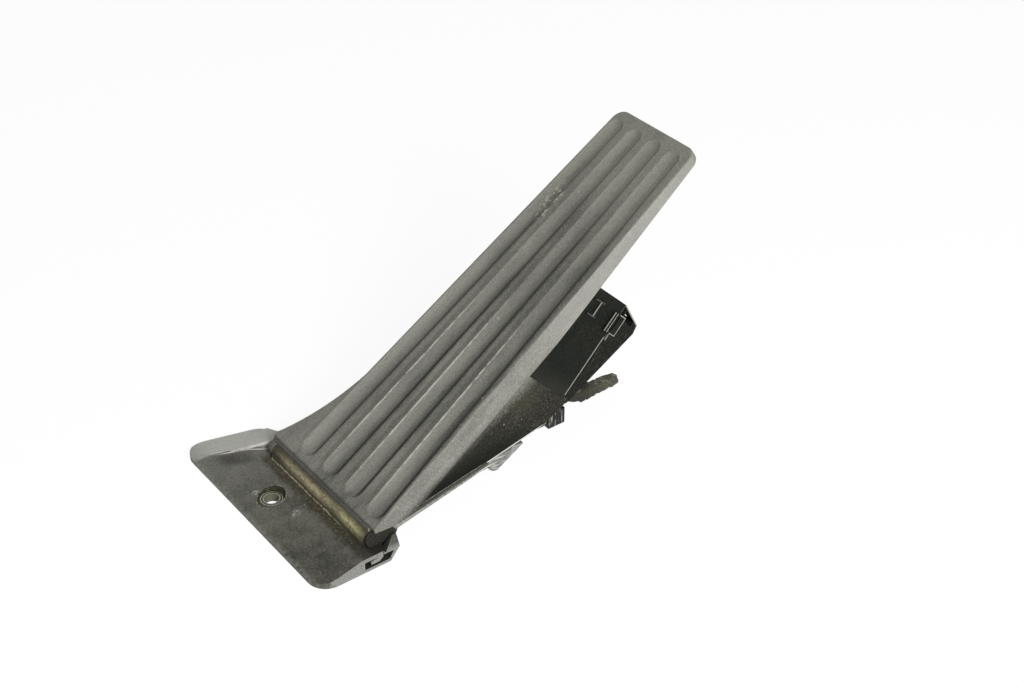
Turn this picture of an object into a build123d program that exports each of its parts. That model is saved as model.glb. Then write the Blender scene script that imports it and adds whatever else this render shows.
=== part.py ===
# Floor-hinged accelerator pedal: ribbed treadle, moulded base and pedal position sensor.
# Millimetres. +Z is up from the floor, +Y runs from heel to toe, +X is the pedal's right.
# The origin is the floor bolt's axis where it meets the floor.
import os
from math import cos, hypot, radians, sin

from build123d import *

os.makedirs("parts", exist_ok=True)

# Hinge line and rest angle of the treadle.
HINGE_Y = 16.0
HINGE_Z = 10.6
TREADLE_X = 24.0
TREADLE_ANGLE = 33.5
TRAVEL = 12.0

# Treadle, in its own axes: x across, s along from the hinge, t square to its face.
TOP = 5.2
TOP_WALL = 3.6
SKIRT_WALL = 2.4
HEEL_S = 3.0
TOE_S = 212.4
TOE_HALF = 25.2
EDGE_SLOPE = 0.037
FLARE_X = -47.4
TOE_RADIUS = 5.5
SKIRT_T = -8.2
SKIRT_ROUND = 2.2
GUSSET_S = 94.1
GROOVE_RADIUS = 8.0
GROOVE_HEEL_DEPTH = 1.9
GROOVE_TOE_DEPTH = 1.2
GROOVE_HEEL_S = 11.5
GROOVE_TOE_S = 203.5
GROOVE_HEEL_PITCH = 17.4
GROOVE_TOE_PITCH = 12.4
GROOVE_TOE_SHIFT = -1.6

# Hinge: bead, pin and running clearance.
BEAD_R = 3.2
PIN_R = 1.5
RUNNING = 0.05
STRIP_LEFT = -20.2
STRIP_RIGHT = 53.6

# Flange and hinge block of the base.
FLANGE_FRONT = -13.2
FLANGE_REAR = 26.0
FLANGE_REAR_LEFT = 24.0
FLANGE_RIGHT = 60.0
FLANGE_LEFT_FRONT = -58.5
FLANGE_LEFT_REAR = -49.0
FLANGE_EDGE = 2.0
BLOCK_TOP = 7.1
BLOCK_Y = 7.5
EAR_RIGHT = -25.0
EAR_TOP = 12.4
BUSH_R = 5.0
BOLT_R = 3.3
BUSH_HEIGHT = 4.2

# Spine and sensor box of the base.
SPINE_LEFT = 1.2
SPINE_RIGHT = 42.0
SPINE_END = 104.6
PEG_R = 3.0
BOX_LEFT = 2.0
BOX_RIGHT = 28.0
BOX_FRONT = 103.5
BOX_WALL = 2.4
BOX_BOTTOM = 9.6
PARTING_Y = 133.8
PARTING_ANGLE = 46.0
PARTING_LENGTH = 56.1
BOX_DEPTH = 22.4
SEAL = 0.8

# Sensor lever.
LEVER_X = 15.0
LEVER_Y = 138.0
LEVER_Z = 36.0
LEVER_ARM = 64.0
LEVER_REST = -0.62
NOSE_R = 5.0
HUB_R = 8.0
AXLE_R = 3.0
BUSHING_R = 4.5
SPRING_Y = 114.5
STUD_Y = 112.0
STUD_Z = 36.0
STUD_R = 2.5
OUTER_COIL_R = 5.7
OUTER_WIRE = 1.5
INNER_COIL_R = 3.4
INNER_WIRE = 1.0
COIL_RUNS = 6
SEAT_Z = BOX_BOTTOM + BOX_WALL
CUP_Z = LEVER_Z - 4.2


def yz_prism(points, x0, x1):
    """A side outline drawn across the pedal from x0 to x1."""
    outline = make_face(Polyline(*points, close=True))
    return extrude(Plane.YZ.offset(x0) * outline, amount=x1 - x0)


def x_rod(y, z, radius, x0, x1):
    """A round bar that lies across the pedal."""
    return extrude(Plane.YZ.offset(x0) * Pos(y, z) * Circle(radius), amount=x1 - x0)


def block(x0, x1, y0, y1, z0, z1):
    """A plain block between six limits."""
    return Pos((x0 + x1) / 2, (y0 + y1) / 2, (z0 + z1) / 2) * Box(x1 - x0, y1 - y0, z1 - z0)


def uv(u, v):
    """A point of the sensor box: u up along the parting line, v square to it towards the treadle."""
    a = radians(PARTING_ANGLE)
    return PARTING_Y + u * cos(a) - v * sin(a), BOX_BOTTOM + u * sin(a) + v * cos(a)


def uv_block(x0, x1, u0, u1, v0, v1):
    """A block square to the parting line."""
    return yz_prism([uv(u0, v0), uv(u1, v0), uv(u1, v1), uv(u0, v1)], x0, x1)


def half_width(s):
    """Half the treadle's width at a distance from the hinge, without the flare."""
    return TOE_HALF + (TOE_S - s) * EDGE_SLOPE


# Pedal plate: one moulding with a face, a skirt, two deep gussets, ribs and the lever's pad seat.
treadle = Pos(TREADLE_X, HINGE_Y, HINGE_Z) * Rot(TREADLE_ANGLE, 0, 0)

flare_start = (-half_width(50), 50)
outline = make_face(
    [
        Line((half_width(HEEL_S), HEEL_S), (TOE_HALF, TOE_S)),
        Line((TOE_HALF, TOE_S), (-TOE_HALF, TOE_S)),
        Line((-TOE_HALF, TOE_S), flare_start),
        ThreePointArc(flare_start, (-36.7, 28), (FLARE_X, 6)),
        Line((FLARE_X, 6), (FLARE_X, HEEL_S)),
        Line((FLARE_X, HEEL_S), (half_width(HEEL_S), HEEL_S)),
    ]
)
outline = fillet(outline.vertices().group_by(Axis.Y)[-1], TOE_RADIUS)

slab = extrude(Pos(0, 0, -20) * outline, amount=20 + TOP)
slab = fillet(slab.edges().group_by(Axis.Z)[-1], 0.9)
skirt_side = [
    (-9, TOP + 1),
    (TOE_S + 1, TOP + 1),
    (TOE_S + 1, 0.9),
    (GUSSET_S, SKIRT_T),
    (26, SKIRT_T),
    (8, -4.4),
    (-9, -4.4),
]
plate = slab & yz_prism(skirt_side, -60, 60)
edge_run = Vector(half_width(130) - half_width(0), 130, 0)
edge_plane = Plane(origin=(half_width(0), 0, SKIRT_T), x_dir=(1, 0, 0), z_dir=edge_run)
corner = Pos(0.5 - SKIRT_ROUND / 2, 0.5 - SKIRT_ROUND / 2) * Rectangle(1 + SKIRT_ROUND, 1 + SKIRT_ROUND)
corner -= Pos(-SKIRT_ROUND, -SKIRT_ROUND) * Circle(SKIRT_ROUND)
rounding = extrude(edge_plane * corner, amount=edge_run.length)
plate -= rounding + mirror(rounding, Plane.YZ)
hollow_plan = offset(outline, -SKIRT_WALL)
hollow_plan += Pos(-5, 1) * Rectangle(70, 14)
plate -= extrude(Pos(0, 0, -21) * hollow_plan, amount=21 + TOP - TOP_WALL)

# The knuckle laps over the bead, and two cheeks flush with the bead hold the pin.
knuckle = x_rod(0, 0, TOP, FLARE_X + 0.6, half_width(0) - 0.3)
knuckle &= yz_prism([(0, 0), (9, 18), (25, 18), (25, -16), (11.9, -16)], -60, 60)
knuckle -= block(29, 40, -12, 25, -12, 12)
right_cheek_side = [(-1.6, -2.4), (4.2, -6.3), (8.6, -7.3), (10.5, -6.2), (10.5, 2.0), (0, BEAD_R)]
cheeks = x_rod(0, 0, BEAD_R, 30.0, 31.6) + yz_prism(right_cheek_side, 30.0, 31.6)
left_cheek_side = [(0, -BEAD_R), (6, -BEAD_R), (6, 4), (0, BEAD_R)]
cheeks += x_rod(0, 0, BEAD_R, FLARE_X, -44.6) + yz_prism(left_cheek_side, FLARE_X, -44.6)
plate -= yz_prism([(1, 3.9), (2.6, 3.9), (9.6, -1.8), (9.6, -16), (1, -16)], 29, 40)
plate += knuckle + cheeks

gusset_side = [
    (5, TOP - 1),
    (GUSSET_S + 4, TOP - 1),
    (GUSSET_S + 0.2, SKIRT_T),
    (99, -34.4),
    (101, -38.6),
    (98.5, -39.6),
    (84.4, -37.6),
    (8, -4.2),
]
stop_side = [
    (5, TOP - 1),
    (112, TOP - 1),
    (110, -34.4),
    (106, -39.6),
    (84.4, -37.6),
    (8, -4.2),
]
gusset_plan = make_face(
    Polyline(
        (half_width(2) - 2 * SKIRT_WALL, 2),
        (half_width(2) - SKIRT_WALL, 2),
        (half_width(114) - SKIRT_WALL, 114),
        (half_width(114) - 2 * SKIRT_WALL, 114),
        close=True,
    )
)
gusset_wall = extrude(Pos(0, 0, -46) * gusset_plan, amount=50)
right_gusset = gusset_wall & yz_prism(gusset_side, 10, 60)
left_gusset = mirror(gusset_wall, Plane.YZ) & yz_prism(stop_side, -60, -10)
plate += right_gusset + left_gusset

# A narrow lip turned out along the front of each gusset's lower edge.
lip_plan = make_face(
    Polyline(
        (half_width(2) - 2 * SKIRT_WALL, 2),
        (half_width(2) - 0.4, 2),
        (half_width(106) - 0.4, 106),
        (half_width(106) - 2 * SKIRT_WALL, 106),
        close=True,
    )
)
lip = extrude(Pos(0, 0, -46) * lip_plan, amount=50)
lip &= yz_prism([(11.5, -5.7), (56, -25.2), (56, -24.4), (11.5, -3.6)], 10, 60)
plate += lip + mirror(lip, Plane.YZ)

# Ribs under the face, clear of the sensor box.
under = TOP - TOP_WALL
for rib_s in (168, 182, 196):
    plate += block(-half_width(rib_s) + 1, half_width(rib_s) - 1, rib_s - 0.8, rib_s + 0.8, 0.4, under + 1)
plate += block(12.2, 13.8, 30, 205, -0.8, under + 1)
plate += block(-27, 27, 29.2, 30.8, -3.5, under + 1)

# Seat for the slide pad, and the arc slot in the left gusset that rides on the box's stud.
lever_line = LEVER_X - TREADLE_X
plate += block(lever_line - 9, lever_line + 9, 51, 75, -2, under + 1)
plate -= x_rod(0, 0, BEAD_R + RUNNING, -44.6, 30.0)
stud_radius = hypot(STUD_Y - HINGE_Y, STUD_Z - HINGE_Z)
stud_angle = Vector(STUD_Y - HINGE_Y, STUD_Z - HINGE_Z, 0).get_angle(Vector(1, 0, 0)) - TREADLE_ANGLE
slot_r = STUD_R + 0.4
slot_ends = [
    (stud_radius * cos(radians(a)), stud_radius * sin(radians(a)))
    for a in (stud_angle - 0.3, stud_angle + TRAVEL + 0.3)
]
for s, t in slot_ends:
    plate -= x_rod(s, t, slot_r, -34, -22)
ring = x_rod(0, 0, stud_radius + slot_r, -34, -22) - x_rod(0, 0, stud_radius - slot_r, -35, -21)
plate -= ring & yz_prism([(0, 0), slot_ends[0], (130, -24), slot_ends[1]], -34, -22)

# Four shallow round grooves that draw together towards the toe, with round ends.
for i in range(4):
    heel_x = (i - 1.5) * GROOVE_HEEL_PITCH
    toe_x = (i - 1.5) * GROOVE_TOE_PITCH + GROOVE_TOE_SHIFT
    heel = Vector(heel_x, GROOVE_HEEL_S, TOP - GROOVE_HEEL_DEPTH + GROOVE_RADIUS)
    toe = Vector(toe_x, GROOVE_TOE_S, TOP - GROOVE_TOE_DEPTH + GROOVE_RADIUS)
    run = toe - heel
    groove = extrude(Plane(origin=heel, z_dir=run) * Circle(GROOVE_RADIUS), amount=run.length)
    groove += Pos(heel.X, heel.Y, heel.Z) * Sphere(GROOVE_RADIUS)
    groove += Pos(toe.X, toe.Y, toe.Z) * Sphere(GROOVE_RADIUS)
    plate -= groove
plate -= x_rod(0, 0, PIN_R, -46.2, 31.4)
pedal_plate = treadle * plate - block(-30, 62, 5, 23, 0, BLOCK_TOP + 0.6)
export_step(pedal_plate, "parts/pedal_plate.step")

# Hinge pin: steel, pressed in the treadle's cheeks, turns in the bead.
hinge_pin = x_rod(HINGE_Y, HINGE_Z, PIN_R, TREADLE_X - 46.2, TREADLE_X + 31.4)
export_step(hinge_pin, "parts/hinge_pin.step")

# Slide pad: low friction plate on the treadle's seat, where the lever's nose runs.
pad = block(lever_line - 8, lever_line + 8, 52, 74, -5, -2)
pad = fillet(pad.edges().filter_by(Axis.X).group_by(Axis.Z)[0], 1.0)
export_step(treadle * pad, "parts/slide_pad.step")

# Base frame: flange with ramp, bolt boss and hinge block.
flange_plan = make_face(
    Polyline(
        (FLANGE_LEFT_FRONT, FLANGE_FRONT),
        (FLANGE_RIGHT, FLANGE_FRONT),
        (FLANGE_RIGHT, FLANGE_REAR),
        (FLANGE_LEFT_REAR, FLANGE_REAR_LEFT),
        close=True,
    )
)
flange_plan = fillet(flange_plan.vertices().group_by(Axis.Y)[0], 9.0)
flange_plan = fillet(flange_plan.vertices().sort_by(Axis.X).filter_by(lambda p: p.Y > 20)[:1], 7.0)
ramp_side = [
    (FLANGE_FRONT, 0),
    (FLANGE_REAR - 4.6, 0),
    (FLANGE_REAR, BLOCK_TOP - 1.2),
    (18.9, BLOCK_TOP - 1.2),
    (18.1, BLOCK_TOP),
    (BLOCK_Y, BLOCK_TOP),
    (FLANGE_FRONT, FLANGE_EDGE),
]
base = extrude(flange_plan, amount=BLOCK_TOP) & yz_prism(ramp_side, -70, 70)
left_edge = Vector(FLANGE_LEFT_REAR - FLANGE_LEFT_FRONT, FLANGE_REAR_LEFT - FLANGE_FRONT, 0).normalized()
inboard = Vector(left_edge.Y, -left_edge.X, 0)
bevel_plane = Plane(origin=(FLANGE_LEFT_FRONT, FLANGE_FRONT, 0), x_dir=inboard, z_dir=left_edge * -1)
bevel = make_face(Polyline((-4, 1.3), (0, 1.8), (17, 6.2), (17, 12), (-4, 12), close=True))
base -= extrude(bevel_plane * bevel, amount=60, both=True)

# An ear that rises from the bevel to cover the hinge's left end.
ear_front = Vector(-42.1, -5.4, 4.0)
ear_top = Vector(EAR_RIGHT, 18.6, EAR_TOP)
ear_edge = Vector(FLANGE_LEFT_REAR, 21.5, 1.8)
ear_plan = make_face(
    Polyline(
        (ear_front.X, ear_front.Y),
        (ear_top.X, ear_top.Y),
        (ear_top.X, FLANGE_REAR_LEFT),
        (-45, FLANGE_REAR_LEFT),
        (-48, 12),
        close=True,
    )
)
ear_slope = Plane(origin=ear_front, z_dir=(ear_top - ear_front).cross(ear_edge - ear_front))
ear = extrude(Pos(0, 0, 1.5) * ear_plan, amount=14)
base += ear - ear_slope * Pos(0, 0, 50) * Box(200, 200, 100)
for x0, x1 in ((-38, -24), (-22, -10), (10, 24), (26, 40), (42, 57)):
    base -= yz_prism([(-9.5, -1), (5.5, -1), (5.5, 4.6), (-9.5, 1.0)], x0, x1)
base -= Cylinder(BUSH_R, 40)
base -= Pos(0, 0, BUSH_HEIGHT + 5) * Cylinder(6.2, 10)

# Hook slot along the hinge block, open at the right end.
slot_side = [(8.8, 1.5), (21.0, 1.5), (23.2, 5.2), (8.8, 5.2)]
base -= yz_prism(slot_side, STRIP_LEFT - 0.6, FLANGE_RIGHT + 1)
base -= block(STRIP_LEFT - 0.6, FLANGE_RIGHT + 1, 14.7, 18.3, 5, BLOCK_TOP + 1)

# A small buttress on the block's right end, outside the treadle's cheek.
buttress_front = [(56.7, 5.4), (FLANGE_RIGHT, 5.4), (FLANGE_RIGHT, 6.1), (57.6, 11), (56.7, 11)]
buttress = extrude(
    Plane.XZ.offset(-FLANGE_REAR) * make_face(Polyline(*buttress_front, close=True)), amount=8
)
buttress &= yz_prism([(18.6, 5.4), (FLANGE_REAR, 5.4), (FLANGE_REAR, 11), (24, 11)], 50, 62)
base += buttress

# Spine: a shallow channel that climbs from the hinge block to the sensor box.
spine_side = [
    (22, 0),
    (SPINE_END, BOX_BOTTOM),
    (SPINE_END, BOX_BOTTOM + 10),
    (22, 7),
]
channel_side = [(25.5, 4), (SPINE_END + 1, BOX_BOTTOM + 3), (SPINE_END + 1, 40), (25.5, 40)]
spine = yz_prism(spine_side, SPINE_LEFT, SPINE_RIGHT)
spine -= yz_prism(channel_side, SPINE_LEFT + BOX_WALL, SPINE_RIGHT - BOX_WALL)
for rib_y in (46, 66, 86):
    rib_z = 0.12 * (rib_y - 22)
    spine += block(SPINE_LEFT + 1, SPINE_RIGHT - 1, rib_y - 0.9, rib_y + 0.9, rib_z + 2, rib_z + 7)
spine_corner = Polyline((SPINE_RIGHT + 1, 95.7), (SPINE_RIGHT + 1, 106), (34.9, 106), close=True)
spine -= extrude(make_face(spine_corner), amount=30)
base += spine

# Sensor box: hollow, open along the parting line and slotted in front for the lever.
box_outline = make_face(
    Polyline(
        (BOX_FRONT, BOX_BOTTOM),
        uv(0, 0),
        uv(PARTING_LENGTH, 0),
        uv(PARTING_LENGTH, BOX_DEPTH),
        (BOX_FRONT, 44.7),
        close=True,
    )
)
box = extrude(Plane.YZ.offset(BOX_LEFT) * box_outline, amount=BOX_RIGHT - BOX_LEFT)
inner = offset(box_outline, -BOX_WALL)
inside_left = BOX_LEFT + BOX_WALL
inside_right = BOX_RIGHT - BOX_WALL
cavity = extrude(Plane.YZ.offset(inside_left) * inner, amount=inside_right - inside_left)
cavity += uv_block(inside_left, inside_right, 5, 53, -4, 4)
base = base - cavity + (box - cavity)
base -= block(5.0, 25.0, BOX_FRONT - 1, BOX_FRONT + 4, 22, 42.4)
for boss in ((inside_left - 0.5, LEVER_X - 8), (LEVER_X + 8, inside_right + 0.5)):
    base += x_rod(LEVER_Y, LEVER_Z, 6.0, boss[0], boss[1])
base -= x_rod(LEVER_Y, LEVER_Z, AXLE_R + 0.02, BOX_LEFT - 1, BOX_RIGHT - 0.8)
for u0, u1 in ((4.6, 10.4), (47.6, 53.4)):
    base += uv_block(inside_left - 0.4, inside_right + 0.4, u0, u1, 2.2, 6.2)
base += x_rod(STUD_Y, STUD_Z, STUD_R, BOX_LEFT - 7, BOX_LEFT + 1)

# Catches for the lid's latches, one on either side.
catch_u = (43.6, 49.4)
for x0, x1 in ((BOX_RIGHT - 0.5, BOX_RIGHT + 1.3), (BOX_LEFT - 1.3, BOX_LEFT + 0.5)):
    base += uv_block(x0, x1, catch_u[0], catch_u[1], 0.9, 2.3)

# A raised bracket of three thin ribs on the right of the box.
rib_x = (BOX_RIGHT - 0.5, BOX_RIGHT + 0.8)
base += uv_block(*rib_x, 43.4, 44.2, 14.2, 20.4)
base += uv_block(*rib_x, 50.9, 51.7, 13.4, 20.4)
base += uv_block(*rib_x, 44.0, 51.0, 15.4, 16.2)

# Seat hole for the travel stop, the foot and the locating peg.
top_slope = Vector(*uv(PARTING_LENGTH, BOX_DEPTH), 0) - Vector(BOX_FRONT, 44.7, 0)
stop_y = 148.0
stop_z = 44.7 + (stop_y - BOX_FRONT) * top_slope.Y / top_slope.X
stop_plane = Plane(
    origin=(LEVER_X, stop_y, stop_z), x_dir=(1, 0, 0), z_dir=(0, -top_slope.Y, top_slope.X)
)
base -= stop_plane * Cylinder(2.5, 12)
foot = block(9.2, 27.8, 121, 133.6, 2.0, BOX_BOTTOM + 0.5)
foot -= block(11.6, 25.4, 123.4, 131.2, 1, 8)
base += foot
peg_tip = Vector(38, 90.4, 3.8)
peg_run = Vector(0, 13.6, 8.0)
base += extrude(Plane(origin=peg_tip, z_dir=peg_run) * Circle(PEG_R), amount=peg_run.length)
base += Pos(peg_tip.X, peg_tip.Y, peg_tip.Z) * Sphere(PEG_R)

# Floor bush: steel tube that takes the bolt's clamp load.
floor_bush = Pos(0, 0, BUSH_HEIGHT / 2) * (Cylinder(BUSH_R - 0.02, BUSH_HEIGHT) - Cylinder(BOLT_R, 20))
export_step(floor_bush, "parts/floor_bush.step")

# Hinge strip: bead with a sloping apron in front, and a hooked foot in the block's slot.
strip = x_rod(HINGE_Y, HINGE_Z, BEAD_R, STRIP_LEFT, STRIP_RIGHT)
strip += yz_prism([(12.85, 10.0), (12.2, 7.3), (18.2, 7.3), (18.2, 8.3)], STRIP_LEFT, STRIP_RIGHT)
hook_side = [
    (18.0, 8.2),
    (15.0, 8.2),
    (15.0, 4.8),
    (12.0, 4.0),
    (12.0, 2.6),
    (16.2, 2.6),
    (18.0, 4.2),
]
strip += yz_prism(hook_side, STRIP_LEFT, STRIP_RIGHT)
hook_end = [(y, min(z, BLOCK_TOP - 0.3)) for y, z in hook_side]
strip += yz_prism(hook_end, STRIP_RIGHT - 1, FLANGE_RIGHT - 0.2)
strip -= x_rod(HINGE_Y, HINGE_Z, PIN_R + RUNNING, STRIP_LEFT - 1, STRIP_RIGHT + 1)
export_step(strip, "parts/hinge_strip.step")

# Sensor lever: hub, long arm with pocketed sides, round nose and a tail for the magnet.
rest = radians(LEVER_REST)
nose_y = LEVER_Y - LEVER_ARM * cos(rest)
nose_z = LEVER_Z - LEVER_ARM * sin(rest)
arm_side = [
    (LEVER_Y, LEVER_Z + 6.5),
    (LEVER_Y, LEVER_Z - 6.5),
    (SPRING_Y, LEVER_Z - 4.2),
    (nose_y + 1, nose_z - 3.6),
    (nose_y + 1, nose_z + 3.6),
]
lever = x_rod(LEVER_Y, LEVER_Z, HUB_R, LEVER_X - 7.5, LEVER_X + 7.5)
lever += yz_prism(arm_side, LEVER_X - 5, LEVER_X + 5)
lever += x_rod(nose_y, nose_z, NOSE_R, LEVER_X - 6.5, LEVER_X + 6.5)
pocket = [(126, 39.4), (126, 33.2), (109, 34.6), (82, nose_z - 1.4), (82, nose_z + 1.4)]
lever -= yz_prism(pocket, LEVER_X + 2, LEVER_X + 6) + yz_prism(pocket, LEVER_X - 6, LEVER_X - 2)
hub_u = 21.9
lever += uv_block(LEVER_X - 6, LEVER_X + 6, hub_u - 5, hub_u + 5, 4.6, 14)
lever -= uv_block(LEVER_X - 4, LEVER_X + 4, hub_u - 3, hub_u + 3, 3.6, 7.6)
lever -= x_rod(LEVER_Y, LEVER_Z, BUSHING_R, LEVER_X - 9, LEVER_X + 9)
lever -= Pos(LEVER_X, SPRING_Y, LEVER_Z - 4.6) * Cylinder(2.0, 5)
lever -= Pos(LEVER_X, SPRING_Y, LEVER_Z - 8.2) * Cylinder(8.4, 8)
export_step(lever, "parts/rotor_lever.step")

# Lever bearings: two brass bushes on a steel axle with a retaining ring.
bushes = x_rod(LEVER_Y, LEVER_Z, BUSHING_R, LEVER_X - 7.5, LEVER_X - 1.5)
bushes += x_rod(LEVER_Y, LEVER_Z, BUSHING_R, LEVER_X + 1.5, LEVER_X + 7.5)
bushes -= x_rod(LEVER_Y, LEVER_Z, AXLE_R + RUNNING, LEVER_X - 9, LEVER_X + 9)
export_step(bushes, "parts/lever_bushes.step")
axle = x_rod(LEVER_Y, LEVER_Z, AXLE_R, BOX_LEFT - 2.2, BOX_RIGHT - 1)
axle -= x_rod(LEVER_Y, LEVER_Z, 6, BOX_LEFT - 1.4, BOX_LEFT - 0.5) - x_rod(LEVER_Y, LEVER_Z, 2.2, -5, 5)
export_step(axle, "parts/lever_axle.step")
ring_clip = x_rod(LEVER_Y, LEVER_Z, 5.0, BOX_LEFT - 1.3, BOX_LEFT - 0.6) - x_rod(LEVER_Y, LEVER_Z, 2.3, -5, 5)
ring_clip -= block(-5, 5, LEVER_Y - 1.7, LEVER_Y + 1.7, LEVER_Z - 8, LEVER_Z)
export_step(ring_clip, "parts/axle_clip.step")

# Magnet in the lever's tail.
magnet = uv_block(LEVER_X - 3.9, LEVER_X + 3.9, hub_u - 2.9, hub_u + 2.9, 3.9, 7.5)
export_step(magnet, "parts/magnet.step")

# Return springs, one inside the other, between a fixed seat and a cup on the lever.
seat = Pos(LEVER_X, SPRING_Y, SEAT_Z + 0.7) * Cylinder(8.0, 1.4)
seat += Pos(LEVER_X, SPRING_Y, SEAT_Z + 2.4) * Cylinder(2.0, 2.2)
export_step(seat, "parts/spring_seat.step")
cup = Pos(LEVER_X, SPRING_Y, CUP_Z - 1.1) * Cylinder(8.0, 2.2)
cup -= Pos(LEVER_X, SPRING_Y, CUP_Z - 1.8) * Cylinder(7.0, 1.6)
cup += Pos(LEVER_X, SPRING_Y, CUP_Z + 0.4) * Cylinder(1.9, 2.6)
export_step(cup, "parts/spring_cup.step")


def coil_spring(radius, wire, turns, z0, z1):
    """A wire coil in short straight runs that stands between two heights."""
    runs = int(turns * COIL_RUNS)
    rise = (z1 - z0 - wire) / runs
    corners = []
    for i in range(runs + 1):
        angle = radians(360 / COIL_RUNS * i)
        corners.append((radius * cos(angle), radius * sin(angle), z0 + wire / 2 + i * rise))
    path = Polyline(*corners)
    section = Plane(origin=path @ 0, z_dir=path % 0) * RegularPolygon(wire / 2, 6)
    return Pos(LEVER_X, SPRING_Y, 0) * sweep(section, path=path, transition=Transition.RIGHT)


outer_spring = coil_spring(OUTER_COIL_R, OUTER_WIRE, 4.5, SEAT_Z + 1.5, CUP_Z - 1.9)
export_step(outer_spring, "parts/outer_spring.step")
inner_spring = coil_spring(INNER_COIL_R, INNER_WIRE, 6.5, SEAT_Z + 1.5, CUP_Z - 1.9)
export_step(inner_spring, "parts/inner_spring.step")

# Circuit board with two sensor packages and two screws.
board = uv_block(inside_left + 0.4, inside_right - 0.4, 5.6, 52.4, 0.6, 2.2)
screw_spots = [uv(7.8, 0.6), uv(50.2, 0.6)]
screw_plane_dir = (0, -sin(radians(PARTING_ANGLE)), cos(radians(PARTING_ANGLE)))
screws = []
for spot in screw_spots:
    plane = Plane(origin=(LEVER_X, *spot), x_dir=(1, 0, 0), z_dir=screw_plane_dir)
    board -= plane * Cylinder(1.3, 8)
    screw = plane * (Pos(0, 0, 2) * Cylinder(1.2, 4) + Pos(0, 0, -0.6) * Cylinder(2.2, 1.2))
    screws.append(screw)
    base -= plane * (Pos(0, 0, 3) * Cylinder(1.22, 6))
export_step(base, "parts/base_frame.step")
export_step(board, "parts/circuit_board.step")
export_step(Compound(children=screws), "parts/board_screws.step")
chips = [
    uv_block(chip_x - 2.3, chip_x + 2.3, hub_u - 1, hub_u + 4.4, 2.2, 3.2)
    for chip_x in (LEVER_X - 2.9, LEVER_X + 2.9)
]
export_step(Compound(children=chips), "parts/sensor_chips.step")

# Gasket between box and lid.
seal = uv_block(BOX_LEFT + 0.3, BOX_RIGHT - 0.3, 1.6, PARTING_LENGTH - 0.3, -SEAL, 0)
seal -= uv_block(inside_left, inside_right, 5, 53, -2, 2)
export_step(seal, "parts/cover_seal.step")

# Lid: wedge with a board cavity, connector socket, side notch and a latch on either side.
lid_outline = [
    uv(SEAL * 0.966, -SEAL),
    (139.5, BOX_BOTTOM),
    (177.8, 31.9),
    (180.1, 35.9),
    uv(PARTING_LENGTH, -SEAL),
]
lid = yz_prism(lid_outline, BOX_LEFT, BOX_RIGHT)
lid_cavity = make_face(Polyline(uv(8, 0), uv(8, -2.6), uv(39, -9), uv(39, 0), close=True))
lid -= extrude(Plane.YZ.offset(inside_left) * lid_cavity, amount=inside_right - inside_left)
lid -= uv_block(6, 24, 42.5, 62, -13.2, -3.2)
lid -= yz_prism([uv(50.2, -3.6), uv(54.0, -3.4), uv(51.3, -12.0), uv(48.6, -11.3)], 23, 29)
for u0, u1, v in ((37.5, 40.6, -1.7), (51.3, 54.9, -2.5)):
    lid -= uv_block(BOX_RIGHT - 0.7, BOX_RIGHT + 1, u0, u1, v, 0)
for x0, x1 in ((BOX_RIGHT - 0.5, BOX_RIGHT + 1.6), (BOX_LEFT - 1.6, BOX_LEFT + 0.5)):
    clear = (BOX_RIGHT + 0.15, BOX_RIGHT + 1.6) if x0 > LEVER_X else (BOX_LEFT - 1.6, BOX_LEFT - 0.15)
    lid += uv_block(x0, x1, 41, 51, -3.6, -SEAL - 0.3)
    arm = uv_block(clear[0], clear[1], 41, 51, -SEAL - 0.4, 4.7)
    arm -= uv_block(x0 - 1, x1 + 1, catch_u[0] - 1, catch_u[1] + 0.6, 0.2, 2.5)
    lid += arm

# Contacts of the connector, moulded in the wall between socket and board cavity.
pins = [
    uv_block(x - 0.32, x + 0.32, 37.5, 50, v - 0.32, v + 0.32)
    for x in (9.5, 12.2, 14.9, 17.6, 20.3)
    for v in (-6.4, -9.6)
]
export_step(Compound(children=pins), "parts/connector_pins.step")
for pin in pins:
    lid -= pin
export_step(lid, "parts/housing_cover.step")

# Rubber stop on the box that ends the treadle's travel.
stop = Pos(0, 0, 0.95) * Cylinder(5.5, 1.9) + Pos(0, 0, -2) * Cylinder(2.45, 4)
export_step(stop_plane * stop, "parts/full_travel_stop.step")

# Spring clip that saddles the foot, and the foam strip stuck under the box.
clip = block(7.6, 29.4, 128, 137.2, 0.6, 9.0)
clip -= block(9.0, 28.0, 120, 140, 1.9, 12)
export_step(clip, "parts/floor_clip.step")
foam_side = [
    (133.7, 6.2),
    (133.7, 9.3),
    (141, 9.3),
    (153, 9.9),
    (174, 7.4),
    (174, 2.4),
    (155, 1.6),
    (151, 2.2),
    (146, 5.4),
]
foam = yz_prism(foam_side, 18.6, 24.8)
export_step(foam, "parts/foam_strip.step")
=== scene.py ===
import bmesh
import bpy
from math import cos, pi, radians, sin
from mathutils import Matrix, Vector, noise


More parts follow.
